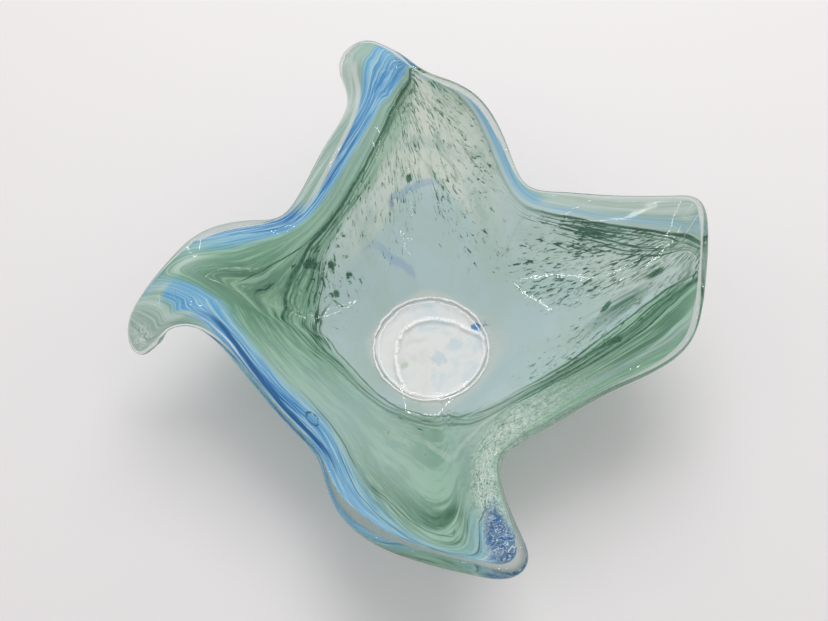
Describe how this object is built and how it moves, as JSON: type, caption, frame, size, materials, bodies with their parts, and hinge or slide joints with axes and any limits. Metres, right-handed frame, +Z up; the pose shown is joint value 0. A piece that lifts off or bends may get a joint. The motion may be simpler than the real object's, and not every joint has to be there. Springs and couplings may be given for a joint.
{
  "type": "art glass bowl",
  "caption": "Shallow freeform bowl of cased coloured glass with pulled, partly curled lobes, streaked colour trails near a clear lip and a flat round foot.",
  "frame": {"origin": "centre of the round foot, on the plane of the table", "axes": "+Z up; +X towards the lobe with the straight far edge, +Y towards the tallest curled lobe"},
  "size_m": [0.2667, 0.279, 0.0797],
  "materials": {
    "clear_casing": "fire-polished clear glass",
    "colour_layer": "translucent grey-blue glass with dark green frit streaks",
    "inner_lining": "fire-polished clear glass",
    "blue_rim_trail": "streaked translucent blue glass",
    "green_rim_trail": "streaked translucent green glass",
    "foot_pad": "clear glass, ground flat underneath"
  },
  "bodies": {
    "root": {"clear_casing": "clear_casing", "colour_layer": "colour_layer", "inner_lining": "inner_lining", "blue_rim_trail": "blue_rim_trail", "green_rim_trail": "green_rim_trail", "foot_pad": "foot_pad"}
  },
  "joints": []
}
